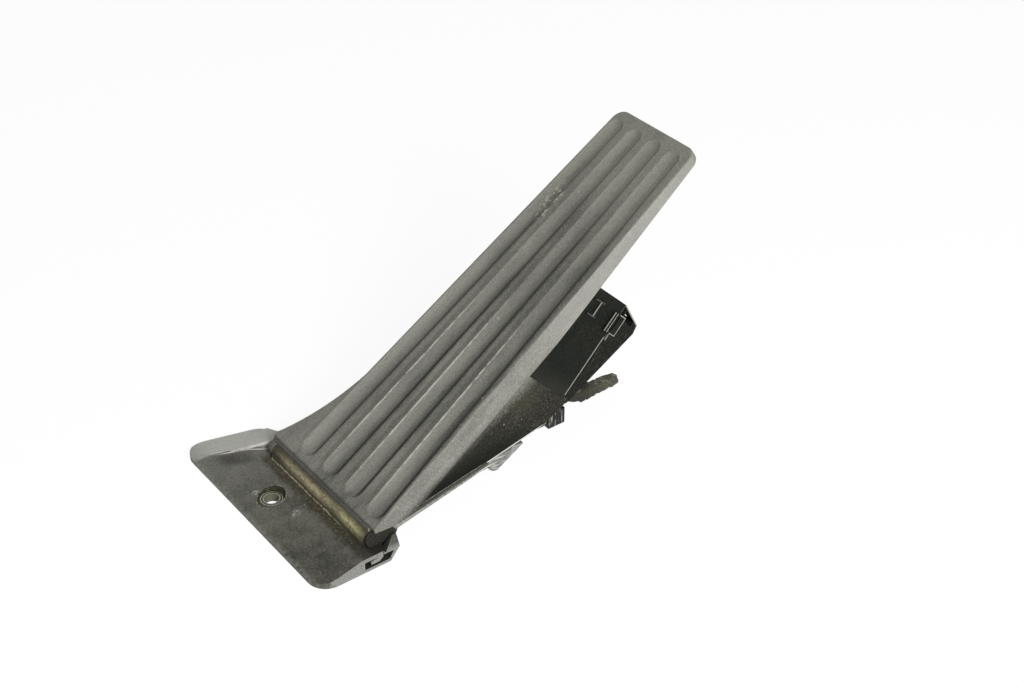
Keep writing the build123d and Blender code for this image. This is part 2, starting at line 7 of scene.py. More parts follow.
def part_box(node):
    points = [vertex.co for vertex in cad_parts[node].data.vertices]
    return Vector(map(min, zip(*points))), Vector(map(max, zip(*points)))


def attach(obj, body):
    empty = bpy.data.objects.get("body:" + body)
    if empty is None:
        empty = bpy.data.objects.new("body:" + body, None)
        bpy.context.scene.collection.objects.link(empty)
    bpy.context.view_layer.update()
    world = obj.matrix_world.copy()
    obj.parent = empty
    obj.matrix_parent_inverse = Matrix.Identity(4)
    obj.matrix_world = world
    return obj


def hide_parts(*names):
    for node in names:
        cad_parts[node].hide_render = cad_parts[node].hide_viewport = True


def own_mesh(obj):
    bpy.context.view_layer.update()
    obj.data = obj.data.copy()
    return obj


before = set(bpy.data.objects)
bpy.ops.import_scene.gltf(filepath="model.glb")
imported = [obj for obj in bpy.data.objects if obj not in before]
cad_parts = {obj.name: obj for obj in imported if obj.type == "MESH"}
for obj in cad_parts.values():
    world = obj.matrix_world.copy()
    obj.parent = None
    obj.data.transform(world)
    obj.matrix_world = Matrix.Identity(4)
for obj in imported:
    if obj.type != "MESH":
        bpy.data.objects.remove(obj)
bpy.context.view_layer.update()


# Base frame: one black glass-filled moulding with flange, hinge block, spine, peg and sensor box.
# It left the mould satin black. Dirt and painted shade lie along the hinge and round the bush, the flange's
# raised left ear has a painted reflection, the peg is painted pale for light bounced up from below, and the
# box is nearly clean.
MM = 0.001
MM_PER_METRE = 1000.0
BOX_AT = (0.0, 0.1338, 0.0096)
BOX_TILT = 46.0
EAR_LEFT_SLANT = -0.255
EAR_RIGHT_SLANT = -0.7125
UP_FROM_EAR = (-0.405, -0.029, 0.914)

FLANGE_DARK = (0.032, 0.032, 0.025)
FLANGE_OLIVE = (0.094, 0.092, 0.073)
LEFT_PAINTED_SHEEN = (0.150, 0.149, 0.134)
RIGHT_DARK = (0.036, 0.036, 0.030)
FINE_PALE = (0.120, 0.118, 0.096)
FINE_DARK = (0.026, 0.026, 0.023)
GRIT_PALE = (0.15, 0.148, 0.130)
GRIT_DARK = (0.024, 0.024, 0.019)
EAR_REFLECTION_GREY = (0.33, 0.33, 0.305)
EAR_REFLECTION_PALE = (0.46, 0.458, 0.425)
EAR_REFLECTION_BRIGHT = (0.58, 0.575, 0.525)
EAR_FOOT = (0.034, 0.033, 0.029)
EAR_RIDGE_HIGHLIGHT = (0.56, 0.555, 0.51)
EAR_WALL_DARK = (0.040, 0.039, 0.034)
EAR_WALL_PALE = (0.24, 0.235, 0.20)
EAR_CREST_HIGHLIGHT = (0.46, 0.455, 0.41)
VALLEY_DIRT_AND_SHADE = (0.024, 0.021, 0.013)
VALLEY_CRUST = (0.090, 0.078, 0.038)
HINGE_STAIN = (0.090, 0.087, 0.072)
RECESS_DIRT_AND_SHADE = (0.020, 0.017, 0.008)
RECESS_RIM = (0.24, 0.225, 0.15)
DENT_PALE = (0.30, 0.29, 0.25)
FRONT_RUB = (0.20, 0.20, 0.18)
CHIP_PALE = (0.24, 0.23, 0.20)
END_PAINTED_LIGHT = (0.165, 0.163, 0.150)
SLOT_SHADE = (0.012, 0.012, 0.011)
HINGE_BLOCK_SHADE = (0.018, 0.018, 0.016)
BOX_BLACK = (0.002, 0.0025, 0.002)
BOX_DARK = (0.012, 0.0125, 0.009)
BOX_GRIT = (0.022, 0.022, 0.016)
BOX_GREEN = (0.006, 0.008, 0.007)
BOX_FRONT_DUST = (0.030, 0.031, 0.025)
BOX_EDGE_HIGHLIGHT = (0.24, 0.24, 0.22)
PEG_DARK = (0.075, 0.075, 0.070)
PEG_PALE_BOUNCE_LIGHT = (0.27, 0.27, 0.255)

# Two dents beside the bush: place in millimetres and how far each spreads
DENTS = (((-7.4, -3.8, 0.0), 2.2), ((16.4, 2.4, 0.0), 2.6))
DENT_CORE = 0.8


def new_finish(name):
    """A material with its node tree and its shader."""
    material = bpy.data.materials.new(name)
    material.use_nodes = True
    return material, material.node_tree, material.node_tree.nodes["Principled BSDF"]


def fill(node, sockets):
    """Links or sets a node's inputs."""
    for key, value in sockets.items():
        if isinstance(value, bpy.types.NodeSocket):
            node.id_data.links.new(value, node.inputs[key])
        else:
            node.inputs[key].default_value = value


def put(tree, kind, sockets, **settings):
    """Adds a shader node, sets it and fills its inputs."""
    node = tree.nodes.new("ShaderNode" + kind)
    for key, value in settings.items():
        setattr(node, key, value)
    fill(node, sockets)
    return node


def millimetres(tree, origin=(0, 0, 0), tilt=0.0):
    """The piece's own coordinates in millimetres, from an origin in metres and tilted about X."""
    place = put(tree, "TexCoord", {}).outputs["Object"]
    sockets = {0: place, 1: origin, 2: (radians(tilt), 0, 0)}
    turned = put(tree, "Mapping", sockets, vector_type="TEXTURE").outputs[0]
    return put(tree, "VectorMath", {0: turned, "Scale": MM_PER_METRE}, operation="SCALE").outputs[0]


def own_normal(tree):
    """The surface's direction in the piece's own axes."""
    return put(tree, "TexCoord", {}).outputs["Normal"]


def axes_of(vector):
    """The three numbers of a vector."""
    return put(vector.id_data, "SeparateXYZ", {0: vector}).outputs


def flattened(place):
    """A place with its height left out."""
    sockets = {0: place, 1: (1.0, 1.0, 0.0)}
    return put(place.id_data, "VectorMath", sockets, operation="MULTIPLY").outputs[0]


def length_of(vector):
    """How long a vector is."""
    return put(vector.id_data, "VectorMath", {0: vector}, operation="LENGTH").outputs["Value"]


def along(vector, way):
    """How far a vector goes in one direction."""
    return put(vector.id_data, "VectorMath", {0: vector, 1: way}, operation="DOT_PRODUCT").outputs["Value"]


def grain(place, scale, detail=3.0, stretch=None):
    """Mottle between 0 and 1, with its scale in waves per millimetre."""
    tree = place.id_data
    if stretch:
        place = put(tree, "Mapping", {0: place, 3: stretch}).outputs[0]
    sockets = {"Vector": place, "Scale": scale, "Detail": detail, "Roughness": 0.6}
    return put(tree, "TexNoise", sockets).outputs[0]


def fade(value, low, high):
    """0 below low, 1 above high, smooth between; low may be the greater."""
    sockets = {0: value, 1: low, 2: high}
    return put(value.id_data, "MapRange", sockets, interpolation_type="SMOOTHSTEP").outputs[0]


def ramp(value, start, end, low=0.0, high=1.0):
    """A straight change from start to end while the value goes from low to high."""
    return put(value.id_data, "MapRange", {0: value, 1: low, 2: high, 3: start, 4: end}).outputs[0]


def calc(operation, a, b=0.0):
    """One sum, product or other step on two numbers."""
    return put(a.id_data, "Math", {0: a, 1: b}, operation=operation).outputs[0]


def plus(value, other, share):
    """A value with a share of another added."""
    return calc("ADD", value, calc("MULTIPLY", other, share))


def times(first, *factors):
    """Product of several masks."""
    for factor in factors:
        first = calc("MULTIPLY", first, factor)
    return first


def larger(first, *others):
    """The greatest of several masks."""
    for other in others:
        first = calc("MAXIMUM", first, other)
    return first


def within(value, low, high, soft):
    """1 between two values, with soft ends."""
    return times(fade(value, low - soft, low + soft), fade(value, high + soft, high - soft))


def coat(mask, under, over):
    """One colour over another where the mask is 1."""
    def full(tone):
        return tone if isinstance(tone, bpy.types.NodeSocket) else (*tone, 1.0)
    return put(mask.id_data, "Mix", {0: mask, 6: full(under), 7: full(over)}, data_type="RGBA").outputs[2]


def layered(colour, *coats):
    """A colour with coats over it in order, each given as mask, strength and colour."""
    for mask, strength, tone in coats:
        if strength < 1.0:
            mask = times(mask, strength)
        colour = coat(mask, colour, tone)
    return colour


def roughen(shader, height, depth_mm):
    """Relief from a height mask, as deep as stated."""
    bump = put(shader.id_data, "Bump", {"Height": height, "Distance": depth_mm * MM})
    fill(shader, {"Normal": bump.outputs[0]})


def dress(piece, material):
    """Gives every slot of a carried-over piece this material."""
    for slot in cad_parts[piece].material_slots:
        slot.material = material


# Bounds of masks are millimetres in the piece's own axes, or parts of 1 for a mottle or a direction
base_black, tree, shader = new_finish("base_black")
mm = millimetres(tree)
x, y, z = axes_of(mm)
facing = axes_of(own_normal(tree))
mottle = grain(mm, 0.10, 6.0)
fine = grain(mm, 1.5)
grit = grain(mm, 0.8)
flange = fade(y, 28.0, 26.5)
on_top = fade(facing[2], 0.3, 0.7)

# The raised left ear: a painted reflection, paler the more a facet turns left away from the lamp, a darker
# patch at its foot, and its inner wall dark under painted highlights along its ridge and crest
on_ear = fade(x, -24.0, -24.8)
from_left = plus(x, y, EAR_LEFT_SLANT)
from_ear = plus(x, y, EAR_RIGHT_SLANT)
ear = larger(fade(from_left, -40.4, -42.4), fade(from_ear, -38.2, -38.8))
ear = times(ear, flange, on_top, ramp(y, 0.5, 1.0, -14.0, -4.0))
ear_reflection = coat(fade(facing[0], -0.06, -0.16), EAR_REFLECTION_GREY, EAR_REFLECTION_PALE)
ear_reflection = coat(fade(facing[0], -0.29, -0.36), ear_reflection, EAR_REFLECTION_BRIGHT)
ear_foot = times(within(from_ear, -36.5, -28.0, 3.0), within(y, -5.0, 6.0, 3.0))
# A painted highlight along the ear's ridge, and another along the top of its inner wall
ear_ridge_highlight = times(within(from_ear, -39.6, -37.4, 0.5), fade(y, -7.0, 2.0), flange, on_ear, on_top)
ear_wall = times(fade(facing[0], 0.4, 0.6), flange, on_ear, fade(y, 0.5, 2.5))
ear_wall_tone = coat(fade(x, -32.0, -27.0), EAR_WALL_DARK, EAR_WALL_PALE)
ear_crest_highlight = times(ear_wall, fade(along(mm, UP_FROM_EAR), 19.2, 19.8))

# Dirt and painted shade in the valley before the strip, and a stain in front of it
ragged = plus(y, grain(mm, 0.30, 5.0), 5.0)
valley = times(within(ragged, 10.9, 16.0, 1.1), flange, on_top, fade(x, -28.0, -20.0))
crust = times(valley, fade(grain(mm, 0.7, 4.0), 0.47, 0.62), fade(x, 52.0, 40.0))
stain = times(within(y, 1.5, 7.0, 2.5), flange, fade(grain(mm, 0.12, 5.0), 0.40, 0.62))
stain = times(stain, fade(ear, 0.2, 0.0))

# Dirt and painted shade in the recess round the bush, stronger on its left side, with the dents beside it
from_bush = flattened(mm)
bush_reach = length_of(from_bush)
recess = times(fade(bush_reach, 6.7, 6.1), fade(grain(mm, 0.5, 4.0), 0.25, 0.45))
recess = times(recess, ramp(x, 0.95, 0.35, -3.0, 4.5))
recess_rim = times(within(bush_reach, 6.2, 6.7, 0.2), fade(grit, 0.42, 0.58), on_top)
dents = []
for spot, spread in DENTS:
    away = put(tree, "VectorMath", {0: from_bush, 1: spot}, operation="DISTANCE").outputs["Value"]
    dents.append(times(fade(away, spread, DENT_CORE), fade(grain(mm, 1.0), 0.48, 0.58)))

# Wear on the flange's borders, painted light on its right end face that looks towards the lamp, and painted
# shade in the slot and on the hinge block under the heel
front_rub = times(fade(y, -10.6, -13.0), fade(grain(mm, 0.5, 4.0), 0.35, 0.6))
chips = times(fade(grain(mm, 0.9, 2.0), 0.70, 0.75), flange)
lit_end_face = times(fade(facing[0], 0.6, 0.9), flange, fade(x, 59.0, 59.8))
slot_shade = times(within(y, 8.6, 23.4, 0.2), within(z, 1.4, 5.4, 0.1), within(x, 30.0, 59.5, 0.2))
hinge_block_shade = times(within(y, 12.8, 27.0, 0.4), fade(x, 52.0, 53.0), on_top)

# The sensor box: speckled green-black, with painted highlights on its ribs and along the parting line
sensor_box = fade(y, 99.0, 101.0)
box_u, box_v = axes_of(millimetres(tree, BOX_AT, BOX_TILT))[1:]
box_tone = layered(
    coat(fade(fine, 0.30, 0.70), BOX_BLACK, BOX_DARK),
    (fade(grit, 0.45, 0.66), 0.45, BOX_GRIT),
    (fade(grain(mm, 0.05, 4.0), 0.45, 0.60), 0.5, BOX_GREEN),
    (fade(box_u, 18.0, 3.0), 0.45, BOX_FRONT_DUST),
)
box_side = times(sensor_box, fade(x, 27.6, 27.9))
stem = times(within(box_v, 15.8, 16.3, 0.1), within(box_u, 44.0, 51.2, 0.2), fade(x, 28.4, 28.6))
rib_bars = times(fade(x, 28.5, 28.7), within(box_v, 13.0, 20.6, 0.2), 0.14)
parting = times(within(box_v, -0.1, 0.5, 0.1), fade(box_u, 39.0, 38.0), fade(grit, 0.25, 0.45))
box_edge_highlights = times(larger(stem, parting, rib_bars), box_side)

# The peg is painted pale for light bounced up onto it from below, with streaks
peg = times(within(x, 33.0, 43.0, 0.4), within(y, 85.0, 104.0, 0.5), fade(z, 12.5, 10.5))
peg_bounce_light = coat(fade(grain(mm, 1.0, 3.0, (0.3, 0.15, 1.0)), 0.35, 0.65), PEG_DARK, PEG_PALE_BOUNCE_LIGHT)

colour = layered(
    coat(fade(mottle, 0.3, 0.7), FLANGE_DARK, FLANGE_OLIVE),
    # A painted sheen that grows towards the flange's left side
    (fade(x, 28.0, -40.0), 0.62, LEFT_PAINTED_SHEEN),
    (fade(x, 12.0, 40.0), 0.30, RIGHT_DARK),
    (fade(fine, 0.50, 0.70), 0.5, FINE_PALE),
    (fade(fine, 0.48, 0.34), 0.6, FINE_DARK),
    (times(ear, ramp(mottle, 0.85, 1.0)), 1.0, ear_reflection),
    (ear_foot, 0.8, EAR_FOOT),
    (ear_ridge_highlight, 0.85, EAR_RIDGE_HIGHLIGHT),
    (ear_wall, 1.0, ear_wall_tone),
    (ear_crest_highlight, 0.9, EAR_CREST_HIGHLIGHT),
    (valley, 0.85, VALLEY_DIRT_AND_SHADE),
    (crust, 0.65, VALLEY_CRUST),
    (stain, 0.6, HINGE_STAIN),
    (recess, 1.0, RECESS_DIRT_AND_SHADE),
    (recess_rim, 0.6, RECESS_RIM),
    *((dent, 0.9, DENT_PALE) for dent in dents),
    (front_rub, 0.45, FRONT_RUB),
    (chips, 0.7, CHIP_PALE),
    (times(fade(grit, 0.52, 0.66), flange), 0.14, GRIT_PALE),
    (times(fade(grit, 0.48, 0.34), flange), 0.20, GRIT_DARK),
    (times(lit_end_face, fade(fine, 0.25, 0.55)), 1.0, END_PAINTED_LIGHT),
    (slot_shade, 1.0, SLOT_SHADE),
    (hinge_block_shade, 1.0, HINGE_BLOCK_SHADE),
    (sensor_box, 1.0, box_tone),
    (box_edge_highlights, 0.9, BOX_EDGE_HIGHLIGHT),
    (peg, 1.0, peg_bounce_light),
)
fill(shader, {
    "Base Color": colour,
    "Roughness": ramp(mottle, 0.42, 0.66),
    "Specular IOR Level": ramp(sensor_box, 0.25, 0.05),
})
roughen(shader, fine, 0.12)
dress("base_frame", base_black)


# Floor bush: turned steel tube pressed in the flange's hole, which takes the clamping load of the bolt.
# Its face is bright where the washer sat. Grime has stayed in a ring on the face, and the bore is darkened
# with painted shade.
BUSH_BRIGHT = (0.74, 0.73, 0.62)
BUSH_GRIME_AND_SHADE = (0.060, 0.056, 0.030)
bush_steel, tree, shader = new_finish("bush_steel")
mm = millimetres(tree)
ring = times(within(length_of(flattened(mm)), 3.75, 4.60, 0.12), fade(grain(mm, 0.6, 5.0), 0.15, 0.42))
bore = fade(axes_of(own_normal(tree))[2], 0.7, 0.3)
grime_and_bore_shade = larger(ring, times(bore, 0.93))
fill(shader, {
    "Base Color": coat(grime_and_bore_shade, BUSH_BRIGHT, BUSH_GRIME_AND_SHADE),
    "Roughness": ramp(grime_and_bore_shade, 0.25, 0.7),
    "Metallic": ramp(grime_and_bore_shade, 1.0, 0.3),
})
roughen(shader, grain(mm, 3.0, 2.0, (1, 1, 0.1)), 0.02)
dress("floor_bush", bush_steel)


# Hinge strip: extruded strip with a round bead and a hooked foot, slid into the base's slot from the right.
# Its crest is tan with dirt that shoes have pressed in and a painted highlight along the bead's top, and is
# pitted dark; sand lies in a wavering line along its foot.
STRIP_DARK = (0.018, 0.015, 0.008)
STRIP_BROWN = (0.070, 0.060, 0.036)
CREST_TAN_DIRT_AND_HIGHLIGHT = (0.44, 0.385, 0.245)
CREST_OLIVE_DIRT_AND_HIGHLIGHT = (0.36, 0.335, 0.180)
PIT_DARK = (0.030, 0.026, 0.013)
SAND = (0.44, 0.405, 0.28)
BEAD_END_SHADE = (0.014, 0.013, 0.010)
HOOK_END_PAINTED_LIGHT = (0.155, 0.153, 0.140)
strip_brown, tree, shader = new_finish("strip_brown")
mm = millimetres(tree)
x, _, z = axes_of(mm)
streaks = grain(mm, 0.5, 5.0, (0.25, 1.0, 1.0))
speckle = grain(mm, 1.2, 4.0)
# The bead's crest: pressed-in dirt with a painted highlight along its top
crest = times(within(z, 9.6, 13.2, 1.0), fade(grain(mm, 0.16, 6.0, (0.3, 1, 1)), 0.25, 0.58))
crest = times(crest, within(x, -14.0, 50.0, 7.0), ramp(x, 0.45, 1.0, -10.0, 32.0))
crest_dirt_and_highlight_tone = coat(fade(x, 20.0, 40.0), CREST_TAN_DIRT_AND_HIGHLIGHT, CREST_OLIVE_DIRT_AND_HIGHLIGHT)
pits = fade(grain(mm, 0.8, 4.0, (0.6, 1.0, 1.0)), 0.54, 0.66)
wavering = plus(z, grain(mm, 0.45, 4.0), 2.4)
sand = times(fade(wavering, 9.6, 8.9), fade(z, 7.0, 7.2), fade(x, 46.0, 24.0))
sand = times(sand, fade(grain(mm, 1.1, 4.0), 0.36, 0.56))
# The bead's right end is painted black as painted shade under the treadle's heel
bead_end_shade = times(fade(x, 52.6, 53.4), fade(z, 6.0, 6.4))
# The hook's end face is painted grey as painted light, like the base's end face that looks towards the lamp
lit_hook_end = times(fade(x, 59.4, 59.7), fade(z, 7.4, 7.0))
colour = layered(
    coat(streaks, STRIP_DARK, STRIP_BROWN),
    (times(crest, fade(speckle, 0.22, 0.58)), 1.0, crest_dirt_and_highlight_tone),
    (pits, 0.6, PIT_DARK),
    (sand, 1.0, SAND),
    (bead_end_shade, 1.0, BEAD_END_SHADE),
    (times(lit_hook_end, fade(speckle, 0.2, 0.5)), 1.0, HOOK_END_PAINTED_LIGHT),
)
fill(shader, {"Base Color": colour, "Roughness": 0.6, "Specular IOR Level": 0.3})
roughen(shader, speckle, 0.1)
dress("hinge_strip", strip_brown)


# Hinge pin and lever axle: ground steel pins, one pushed through the strip's bead and the treadle,
# the other through the box's walls. Oil has dulled them, and faint rings are left from grinding.
PIN_DARK = (0.32, 0.32, 0.315)
PIN_BRIGHT = (0.46, 0.45, 0.44)
pin_steel, tree, shader = new_finish("pin_steel")
mm = millimetres(tree)
rings = grain(mm, 1.2, 3.0, (1.0, 0.15, 0.15))
fill(shader, {
    "Base Color": coat(rings, PIN_DARK, PIN_BRIGHT),
    "Roughness": ramp(rings, 0.2, 0.4),
    "Metallic": 1.0,
})
for piece in ("hinge_pin", "lever_axle"):
    dress(piece, pin_steel)


# Pedal plate: the treadle, one matt black moulding with a pebble grain, long grooves and deep gussets.
# Shoes have left it dusty grey, with painted shade down one wall of each groove and painted light on the
# other, worn groove edges with a painted highlight, a scuff near the toe, and a pale skirt that fades to
# clean black on the gussets, with painted shade low on the skirt near the heel.
TREADLE_AT = (0.024, 0.016, 0.0106)
TREADLE_TILT = 33.5
UP_FROM_FACE = (0.0, -sin(radians(TREADLE_TILT)), cos(radians(TREADLE_TILT)))
GROOVES_FROM = 11.5
GROOVES_TO = 203.5
HEEL_PITCH = 17.4
TOE_PITCH = 12.4
HEEL_HALF_WIDTH = 5.2
TOE_HALF_WIDTH = 4.2
GROOVE_DRIFT = 1.6
LIP_FROM = 11.5
LIP_SLANT = 0.467
LOW_EDGE_FROM = 8.0
LOW_EDGE_SLANT = 0.437
CRUMB_SLANT = 0.26
LEFT_RIM_SLANT = -0.037

FACE_GREY = (0.098, 0.098, 0.086)
FACE_DUST = (0.148, 0.147, 0.125)
RUB_PALE = (0.190, 0.188, 0.160)
RUB_DARK = (0.050, 0.049, 0.042)
SOLE_MARK = (0.060, 0.058, 0.048)
WORN_MIDDLE = (0.070, 0.069, 0.060)
GROOVE_SHADE = (0.018, 0.018, 0.014)
GROOVE_PAINTED_LIGHT = (0.150, 0.150, 0.130)
LAND_DIRT = (0.044, 0.045, 0.038)
EDGE_WEAR_AND_HIGHLIGHT = (0.32, 0.315, 0.275)
TOE_WALL_PAINTED_LIGHT = (0.270, 0.268, 0.228)
TOE_WALL_PAINTED_SHADE = (0.085, 0.084, 0.070)
FACE_CRUMB = (0.28, 0.265, 0.215)
TOE_DUST = (0.178, 0.178, 0.152)
LEFT_DUST = (0.185, 0.184, 0.162)
SCUFF_PALE = (0.34, 0.325, 0.26)
RIM_SHADE = (0.022, 0.022, 0.019)
SKIRT_GREY = (0.121, 0.119, 0.105)
SKIRT_DUST = (0.173, 0.170, 0.148)
SKIRT_DARK = (0.070, 0.069, 0.062)
SKIRT_GRIT = (0.28, 0.278, 0.255)
SKIRT_TOE = (0.27, 0.268, 0.245)
GUSSET_BLACK = (0.005, 0.005, 0.004)
GUSSET_DARK = (0.022, 0.021, 0.017)
GUSSET_BROWN = (0.040, 0.040, 0.025)
GUSSET_GRIT = (0.056, 0.057, 0.043)
GUSSET_CRUMB = (0.24, 0.23, 0.19)
GUSSET_CLEAN = (0.010, 0.010, 0.008)
SKIRT_LOW_SHADE = (0.016, 0.016, 0.012)
LOW_SHADE = (0.004, 0.004, 0.003)
LIP_GREY = (0.105, 0.104, 0.093)
LIP_PALE = (0.230, 0.228, 0.205)
LIP_EDGE = (0.24, 0.238, 0.22)
LOW_EDGE_HIGHLIGHT = (0.42, 0.418, 0.385)
CHEEK_BLACK = (0.006, 0.006, 0.005)
CHEEK_DARK = (0.024, 0.023, 0.020)
UNDERSIDE_BLACK = (0.022, 0.022, 0.021)
PEBBLE_DARK = (0.016, 0.016, 0.013)
PEBBLE_PALE = (0.30, 0.295, 0.26)

# Places on the treadle in millimetres: x to the right, s from heel to toe, t square to the face
treadle_grey, tree, shader = new_finish("treadle_grey")
mm = millimetres(tree, TREADLE_AT, TREADLE_TILT)
x, s, t = axes_of(mm)
out_up = along(own_normal(tree), UP_FROM_FACE)
patches = grain(mm, 0.035, 6.0)
rubbed = grain(mm, 0.16, 5.0, (1.0, 0.12, 1.0))
pebble = grain(mm, 2.4)
grit = grain(mm, 1.1)

# The grooves' own spacing, which narrows to the toe: across is measured from a groove's middle
along_grooves = ramp(s, 0.0, 1.0, GROOVES_FROM, GROOVES_TO)
pitch = ramp(along_grooves, HEEL_PITCH, TOE_PITCH)
half_width = ramp(along_grooves, HEEL_HALF_WIDTH, TOE_HALF_WIDTH)
count = calc("ADD", calc("DIVIDE", plus(x, along_grooves, GROOVE_DRIFT), pitch), 0.5)
across = times(calc("SUBTRACT", count, calc("ROUND", count)), pitch)
from_edge = calc("ADD", across, half_width)
grooved = times(within(count, -1.55, 2.6, 0.05), within(s, 9.0, 207.0, 3.0))
fainter_to_toe = ramp(s, 1.0, 0.35, 60.0, 205.0)

# Face: dust and sole marks, then dirt, wear, painted shade and painted light that follow the grooves
sole_marks = grain(mm, 0.30, 4.0, (1.0, 0.25, 1.0))
worn_middle = times(within(s, 105.0, 165.0, 30.0), fade(x, -14.0, 6.0))
# Painted shade on each groove's wall that faces away from the lamp, and painted light on the wall that
# faces it; both grow fainter towards the toe
groove_shade = times(within(across, 2.8, 5.4, 1.0), grooved, fade(rubbed, 0.20, 0.50), fainter_to_toe)
groove_painted_light = times(within(across, -4.4, -0.6, 1.4), grooved, fainter_to_toe)
land_dirt = times(within(from_edge, -2.6, -0.3, 0.5), grooved, fainter_to_toe, fade(rubbed, 0.25, 0.55))
# Wear and a painted highlight along the left edge of each groove but the leftmost, in the heel half
edge_wear_and_highlight = times(within(from_edge, -0.1, 0.5, 0.25), grooved, within(s, 22.0, 100.0, 18.0))
edge_wear_and_highlight = times(edge_wear_and_highlight, fade(count, -0.9, -0.6))
edge_wear_and_highlight = times(edge_wear_and_highlight, fade(grain(mm, 0.8, 4.0, (1, 0.3, 1)), 0.34, 0.56))
# Towards the toe, painted light on the shaded groove wall and painted shade on the lit one soften the
# grooves
toe_groove_relight = times(grooved, fade(s, 140.0, 205.0))
crumb = fade(grain(mm, 0.55, 1.0), 0.77, 0.80)
left_dust = times(fade(x, -6.0, -34.0), fade(s, 190.0, 120.0))
scuff = times(within(x, -22.5, -15.5, 1.6), within(s, 150.0, 170.0, 4.0))
scuff = times(scuff, fade(grain(mm, 0.7, 5.0, (1.0, 0.7, 1.0)), 0.52, 0.59))
# Painted shade along the rounded left rim and along the heel edge next to the strip
left_rim_shade = times(fade(plus(x, s, LEFT_RIM_SLANT), -32.2, -32.7), fade(s, 48.0, 56.0))
face = layered(
    coat(fade(patches, 0.3, 0.7), FACE_GREY, FACE_DUST),
    (fade(rubbed, 0.50, 0.68), 0.6, RUB_PALE),
    (fade(rubbed, 0.48, 0.32), 0.7, RUB_DARK),
    (fade(sole_marks, 0.55, 0.70), 0.4, SOLE_MARK),
    (worn_middle, 0.40, WORN_MIDDLE),
    (groove_shade, 0.82, GROOVE_SHADE),
    (groove_painted_light, 0.45, GROOVE_PAINTED_LIGHT),
    (land_dirt, 0.45, LAND_DIRT),
    (edge_wear_and_highlight, 0.75, EDGE_WEAR_AND_HIGHLIGHT),
    (times(toe_groove_relight, within(across, 1.8, 4.4, 0.9)), 0.55, TOE_WALL_PAINTED_LIGHT),
    (times(toe_groove_relight, within(across, -4.2, -1.6, 0.9)), 0.35, TOE_WALL_PAINTED_SHADE),
    (crumb, 1.0, FACE_CRUMB),
    (fade(s, 140.0, 212.0), 0.62, TOE_DUST),
    (left_dust, 0.55, LEFT_DUST),
    (scuff, 0.85, SCUFF_PALE),
    (larger(fade(s, 4.6, 3.4), left_rim_shade), 0.5, RIM_SHADE),
)

# Skirt and gussets: dust above, which breaks up into clean black lower down, with painted shade low on the
# skirt and a painted highlight along the gussets' lower edge
dusty = layered(
    coat(fade(grain(mm, 0.12, 5.0, (1, 0.35, 1)), 0.3, 0.7), SKIRT_GREY, SKIRT_DUST),
    (fade(grit, 0.50, 0.34), 0.32, SKIRT_DARK),
    (fade(grit, 0.52, 0.66), 0.32, SKIRT_GRIT),
    (fade(s, 95.0, 130.0), 0.45, SKIRT_TOE),
)
brown_patch = times(within(s, 78.0, 96.0, 9.0), within(t, -24.0, -8.0, 6.0))
crumb_band = times(within(plus(t, s, CRUMB_SLANT), -4.5, 3.0, 2.0), within(s, 52.0, 80.0, 4.0))
gusset = layered(
    coat(fade(pebble, 0.35, 0.65), GUSSET_BLACK, GUSSET_DARK),
    (brown_patch, 0.5, GUSSET_BROWN),
    (fade(grit, 0.50, 0.66), 0.65, GUSSET_GRIT),
    (times(fade(grain(mm, 0.9, 2.0), 0.68, 0.71), crumb_band), 1.0, GUSSET_CRUMB),
    (fade(s, 76.0, 56.0), 0.72, GUSSET_CLEAN),
)
fading = calc("ADD", t, ramp(s, -2.0, 5.5, 15.0, 90.0))
fading = plus(fading, grain(mm, 0.06), 4.0)
fading = plus(fading, grit, 5.0)
# Painted shade on the lower part of the skirt near the heel, where its rounded lower edge turns down
skirt_low_shade = times(fade(t, -3.0, -8.6), fade(s, 80.0, 50.0))
lip_height = plus(t, calc("SUBTRACT", s, LIP_FROM), LIP_SLANT)
low_shade = times(fade(lip_height, 9.0, -1.0), fade(s, 88.0, 62.0), fade(s, 20.0, 36.0))
lip = times(fade(lip_height, -3.0, -3.5), fade(s, 58.0, 50.0), fade(s, 9.5, 11.5))
lip_tone = coat(fade(grit, 0.35, 0.65), LIP_GREY, LIP_PALE)
# A painted highlight along the gussets' lower edge
edge_height = plus(t, calc("SUBTRACT", s, LOW_EDGE_FROM), LOW_EDGE_SLANT)
low_edge_highlight = times(fade(edge_height, -3.4, -3.7), within(s, 50.0, 84.0, 3.0), fade(grit, 0.20, 0.40))
side = layered(
    coat(fade(fading, -7.0, 3.3), gusset, dusty),
    (skirt_low_shade, 0.48, SKIRT_LOW_SHADE),
    (low_shade, 0.8, LOW_SHADE),
    (lip, 1.0, lip_tone),
    (times(lip, fade(x, 31.6, 32.0)), 0.4, LIP_EDGE),
    (low_edge_highlight, 1.0, LOW_EDGE_HIGHLIGHT),
)

